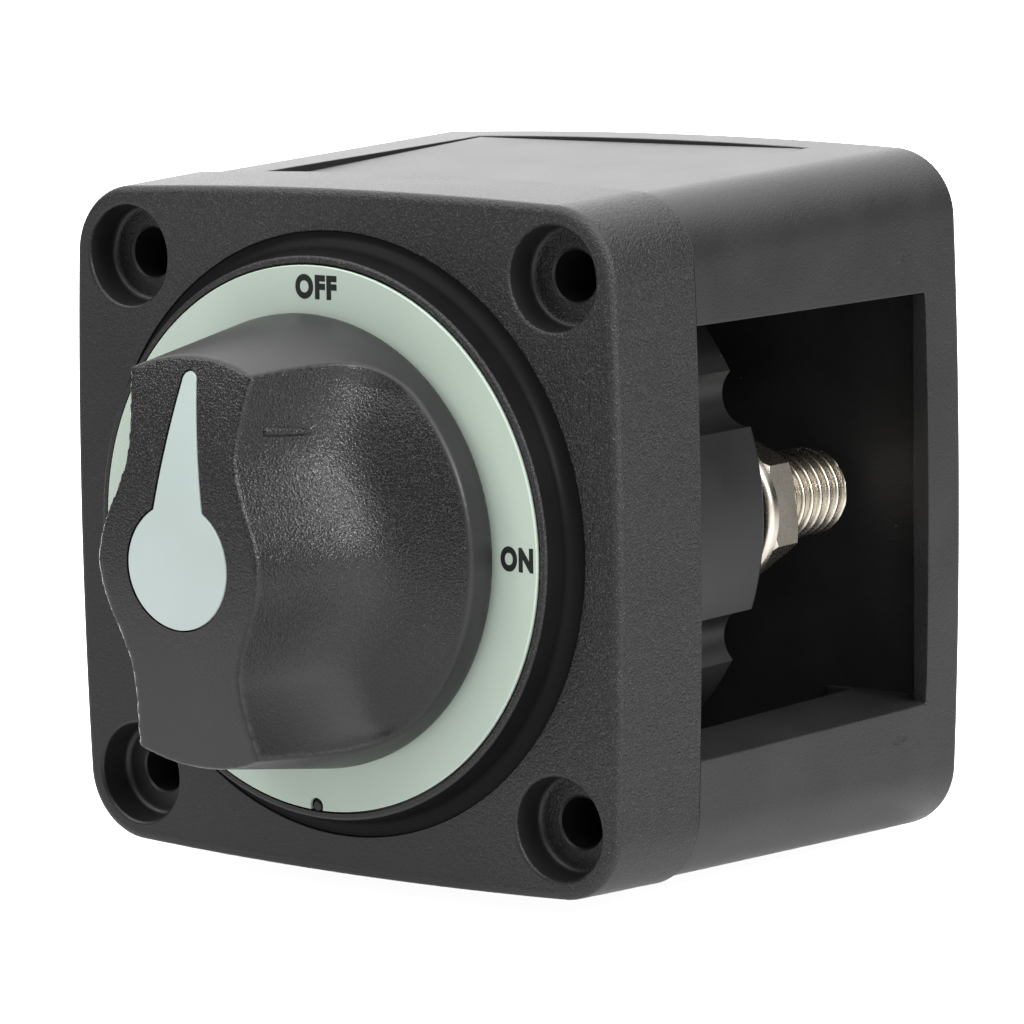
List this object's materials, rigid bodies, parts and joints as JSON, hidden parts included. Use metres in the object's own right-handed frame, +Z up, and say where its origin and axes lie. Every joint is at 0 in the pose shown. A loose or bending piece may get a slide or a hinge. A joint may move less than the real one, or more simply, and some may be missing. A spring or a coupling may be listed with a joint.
{
  "type": "marine battery isolator switch",
  "caption": "Black square battery isolator switch with a quarter-turn grip knob, pale dial ring, counterbored corner holes and a deep boxed cover over its terminal studs.",
  "frame": {"origin": "centre of the cover's flat rear mounting face", "axes": "+X to the right seen from the front, +Y to the back along the knob's axis, out of the mounting face, +Z up towards the OFF mark"},
  "size_m": [0.0728, 0.0834, 0.0728],
  "materials": {
    "black_textured": "moulded plastic with a fine spark-eroded grain",
    "black_smooth": "smooth moulded plastic, slightly glossy",
    "pale_label": "pale green glow-in-the-dark film, satin",
    "seal_rubber": "soft black nitrile",
    "zinc_steel": "bright zinc-plated steel",
    "contact_copper": "bare copper with a light polish",
    "tinned_brass": "tin-plated, warm bright silver"
  },
  "bodies": {
    "housing": {"front_housing": "black_textured", "dial_label": "pale_label", "body_gasket": "seal_rubber", "switch_body": "black_smooth", "body_screw_1": "zinc_steel", "body_screw_2": "zinc_steel", "body_screw_3": "zinc_steel", "body_screw_4": "zinc_steel", "terminal_stud_left": "tinned_brass", "terminal_stud_right": "tinned_brass", "terminal_washer_left": "tinned_brass", "terminal_washer_right": "tinned_brass", "terminal_nut_left": "tinned_brass", "terminal_nut_right": "tinned_brass", "rear_cover": "black_textured"},
    "rotor": {"knob": "black_textured", "pointer_label": "pale_label", "knob_screw": "zinc_steel", "spindle": "zinc_steel", "shaft_seal": "seal_rubber", "contact_carrier": "black_smooth", "contact_spring": "zinc_steel"},
    "bridge": {"moving_contact": "contact_copper"},
    "top_plate": {"cable_plate_top": "black_textured"},
    "left_plate": {"cable_plate_left": "black_textured"},
    "bottom_plate": {"cable_plate_bottom": "black_textured"}
  },
  "joints": [
    {"name": "knob_turn", "type": "hinge", "parent": "housing", "child": "rotor", "pos_m": [0, -0.0588, 0], "axis": [0, 1, 0], "range_deg": [0, 90]},
    {"name": "contact_press", "type": "slide", "parent": "rotor", "child": "bridge", "axis": [0, 1, 0], "range_m": [0, 0.0017], "deforming": ["contact_spring"]},
    {"name": "top_plate_pull", "type": "slide", "parent": "housing", "child": "top_plate", "axis": [0, 0, 1], "range_m": [0, 0.02]},
    {"name": "left_plate_pull", "type": "slide", "parent": "housing", "child": "left_plate", "axis": [-1, 0, 0], "range_m": [0, 0.02]},
    {"name": "bottom_plate_pull", "type": "slide", "parent": "housing", "child": "bottom_plate", "axis": [0, 0, -1], "range_m": [0, 0.02]}
  ],
  "couplings": [
    {"joint": "contact_press", "follows": "knob_turn", "m_per_rad": 0.001}
  ]
}
